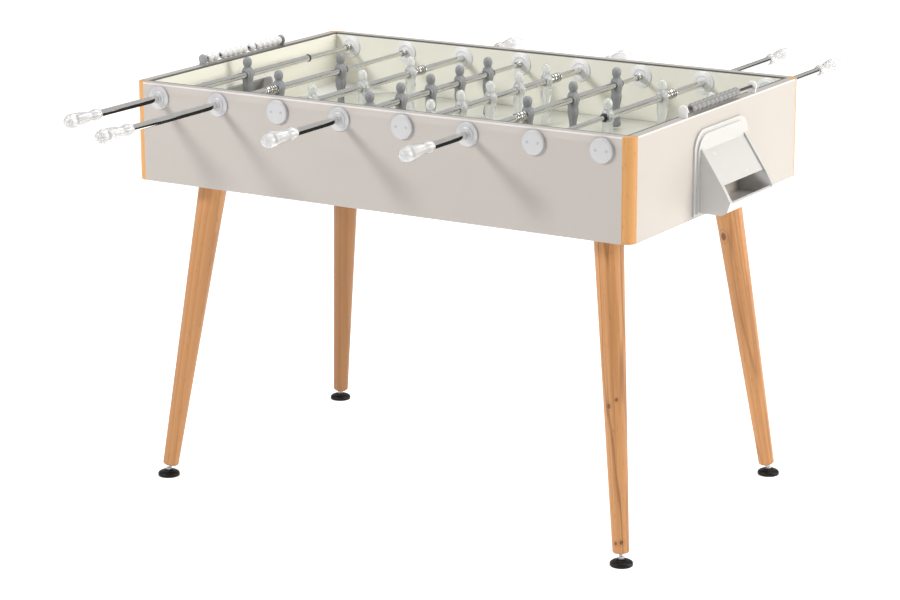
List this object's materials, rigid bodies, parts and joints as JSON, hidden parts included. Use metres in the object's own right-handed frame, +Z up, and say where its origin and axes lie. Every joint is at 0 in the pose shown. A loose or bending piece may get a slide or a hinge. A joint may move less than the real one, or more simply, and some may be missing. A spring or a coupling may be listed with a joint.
{
  "type": "foosball table",
  "caption": "Foosball table with telescopic player rods, a walled playfield, end ball boxes, sliding bead scorers and splayed wooden legs on levelling feet.",
  "frame": {"origin": "on the floor under the middle of the cabinet, which is also under the middle of the part's box", "axes": "+Z up, +X along the table to its right end, +Y across the table to its back, so the rods run along Y"},
  "size_m": [1.328, 1.554, 0.896],
  "materials": {
    "wall_board": "white laminate on board, satin",
    "base_board": "pale laminate on board, satin",
    "playfield": "pale grey-green glossy laminate",
    "beech": "clear-lacquered beech",
    "leg_wood": "clear-lacquered beech with streaked grain",
    "rim_cap": "light grey satin edging with a dark line",
    "goal_plastic": "moulded grey, light edge",
    "box_plastic": "moulded white, glossy",
    "bearing_plastic": "moulded pale grey",
    "plate_steel": "zinc-plated plate",
    "foot_rubber": "black moulded pad",
    "scorer_plastic": "moulded brackets and a thin black rod",
    "white_beads": "moulded white",
    "dark_beads": "moulded dark grey",
    "screw_steel": "zinc-plated",
    "inner_rod_steel": "ground steel",
    "rod_chrome": "polished, springs in bright steel",
    "grey_men": "moulded grey, matt",
    "clear_men": "moulded, clear with a frosty tint",
    "handle_plastic": "moulded, ice-clear"
  },
  "bodies": {
    "table": {"near_side": "wall_board", "far_side": "wall_board", "left_end": "wall_board", "right_end": "wall_board", "underframe": "base_board", "playfield": "playfield", "field_ramps": "playfield", "corner_strips": "beech", "rim_trim": "rim_cap", "goal_liners": "goal_plastic", "ball_boxes": "box_plastic", "leg_plates": "plate_steel", "leg_front_left": "leg_wood", "leg_front_right": "leg_wood", "leg_back_left": "leg_wood", "leg_back_right": "leg_wood", "rod_bearings": "bearing_plastic", "score_rails": "scorer_plastic", "fasteners": "screw_steel"},
    "foot_front_left": {"foot_front_left": "foot_rubber"},
    "foot_front_right": {"foot_front_right": "foot_rubber"},
    "foot_back_left": {"foot_back_left": "foot_rubber"},
    "foot_back_right": {"foot_back_right": "foot_rubber"},
    "rod_1_core": {"rod_1_inner": "inner_rod_steel"},
    "rod_1": {"rod_1_tube": "rod_chrome", "rod_1_men": "grey_men", "rod_1_handle": "handle_plastic"},
    "rod_2_core": {"rod_2_inner": "inner_rod_steel"},
    "rod_2": {"rod_2_tube": "rod_chrome", "rod_2_men": "grey_men", "rod_2_handle": "handle_plastic"},
    "rod_3_core": {"rod_3_inner": "inner_rod_steel"},
    "rod_3": {"rod_3_tube": "rod_chrome", "rod_3_men": "clear_men", "rod_3_handle": "handle_plastic"},
    "rod_4_core": {"rod_4_inner": "inner_rod_steel"},
    "rod_4": {"rod_4_tube": "rod_chrome", "rod_4_men": "grey_men", "rod_4_handle": "handle_plastic"},
    "rod_5_core": {"rod_5_inner": "inner_rod_steel"},
    "rod_5": {"rod_5_tube": "rod_chrome", "rod_5_men": "clear_men", "rod_5_handle": "handle_plastic"},
    "rod_6_core": {"rod_6_inner": "inner_rod_steel"},
    "rod_6": {"rod_6_tube": "rod_chrome", "rod_6_men": "grey_men", "rod_6_handle": "handle_plastic"},
    "rod_7_core": {"rod_7_inner": "inner_rod_steel"},
    "rod_7": {"rod_7_tube": "rod_chrome", "rod_7_men": "clear_men", "rod_7_handle": "handle_plastic"},
    "rod_8_core": {"rod_8_inner": "inner_rod_steel"},
    "rod_8": {"rod_8_tube": "rod_chrome", "rod_8_men": "clear_men", "rod_8_handle": "handle_plastic"},
    "beads_left_1": {"beads_left_1": "white_beads"},
    "beads_left_2": {"beads_left_2": "white_beads"},
    "beads_left_3": {"beads_left_3": "white_beads"},
    "beads_left_4": {"beads_left_4": "white_beads"},
    "beads_right": {"beads_right": "dark_beads"}
  },
  "joints": [
    {"name": "level_front_left", "type": "slide", "parent": "table", "child": "foot_front_left", "axis": [-0.1221, -0.1221, -0.985], "range_m": [-0.005, 0.012]},
    {"name": "level_front_right", "type": "slide", "parent": "table", "child": "foot_front_right", "axis": [0.1221, -0.1221, -0.985], "range_m": [-0.005, 0.012]},
    {"name": "level_back_left", "type": "slide", "parent": "table", "child": "foot_back_left", "axis": [-0.1221, 0.1221, -0.985], "range_m": [-0.005, 0.012]},
    {"name": "level_back_right", "type": "slide", "parent": "table", "child": "foot_back_right", "axis": [0.1221, 0.1221, -0.985], "range_m": [-0.005, 0.012]},
    {"name": "turn_rod_1", "type": "hinge", "parent": "table", "child": "rod_1_core", "pos_m": [-0.525, 0, 0.843], "axis": [0, 1, 0], "range_deg": [-205, 17]},
    {"name": "push_rod_1", "type": "slide", "parent": "rod_1_core", "child": "rod_1", "axis": [0, -1, 0], "range_m": [-0.1493, 0.0316]},
    {"name": "turn_rod_2", "type": "hinge", "parent": "table", "child": "rod_2_core", "pos_m": [-0.375, 0, 0.843], "axis": [0, 1, 0], "continuous": true},
    {"name": "push_rod_2", "type": "slide", "parent": "rod_2_core", "child": "rod_2", "axis": [0, -1, 0], "range_m": [-0.2273, 0.1326]},
    {"name": "turn_rod_3", "type": "hinge", "parent": "table", "child": "rod_3_core", "pos_m": [-0.225, 0, 0.843], "axis": [0, 1, 0], "continuous": true},
    {"name": "push_rod_3", "type": "slide", "parent": "rod_3_core", "child": "rod_3", "axis": [0, 1, 0], "range_m": [-0.0593, 0.1586]},
    {"name": "turn_rod_4", "type": "hinge", "parent": "table", "child": "rod_4_core", "pos_m": [-0.075, 0, 0.843], "axis": [0, 1, 0], "continuous": true},
    {"name": "push_rod_4", "type": "slide", "parent": "rod_4_core", "child": "rod_4", "axis": [0, -1, 0], "range_m": [-0.1013, 0.0246]},
    {"name": "turn_rod_5", "type": "hinge", "parent": "table", "child": "rod_5_core", "pos_m": [0.075, 0, 0.843], "axis": [0, 1, 0], "continuous": true},
    {"name": "push_rod_5", "type": "slide", "parent": "rod_5_core", "child": "rod_5", "axis": [0, 1, 0], "range_m": [-0.0383, 0.0876]},
    {"name": "turn_rod_6", "type": "hinge", "parent": "table", "child": "rod_6_core", "pos_m": [0.225, 0, 0.843], "axis": [0, 1, 0], "continuous": true},
    {"name": "push_rod_6", "type": "slide", "parent": "rod_6_core", "child": "rod_6", "axis": [0, -1, 0], "range_m": [-0.0703, 0.1476]},
    {"name": "turn_rod_7", "type": "hinge", "parent": "table", "child": "rod_7_core", "pos_m": [0.375, 0, 0.843], "axis": [0, 1, 0], "continuous": true},
    {"name": "push_rod_7", "type": "slide", "parent": "rod_7_core", "child": "rod_7", "axis": [0, 1, 0], "range_m": [-0.2313, 0.1286]},
    {"name": "turn_rod_8", "type": "hinge", "parent": "table", "child": "rod_8_core", "pos_m": [0.525, 0, 0.843], "axis": [0, 1, 0], "range_deg": [-17, 205]},
    {"name": "push_rod_8", "type": "slide", "parent": "rod_8_core", "child": "rod_8", "axis": [0, 1, 0], "range_m": [-0.1763, 0.0046]},
    {"name": "slide_beads_left_1", "type": "slide", "parent": "table", "child": "beads_left_1", "axis": [0, 1, 0], "range_m": [-0.0098, 0.0116]},
    {"name": "slide_beads_left_2", "type": "slide", "parent": "table", "child": "beads_left_2", "axis": [0, 1, 0], "range_m": [-0.0116, 0.0112]},
    {"name": "slide_beads_left_3", "type": "slide", "parent": "table", "child": "beads_left_3", "axis": [0, 1, 0], "range_m": [-0.0112, 0.0058]},
    {"name": "slide_beads_left_4", "type": "slide", "parent": "table", "child": "beads_left_4", "axis": [0, 1, 0], "range_m": [-0.0058, 0.0019]},
    {"name": "slide_beads_right", "type": "slide", "parent": "table", "child": "beads_right", "axis": [0, 1, 0], "range_m": [-0.028, 0.065]}
  ]
}
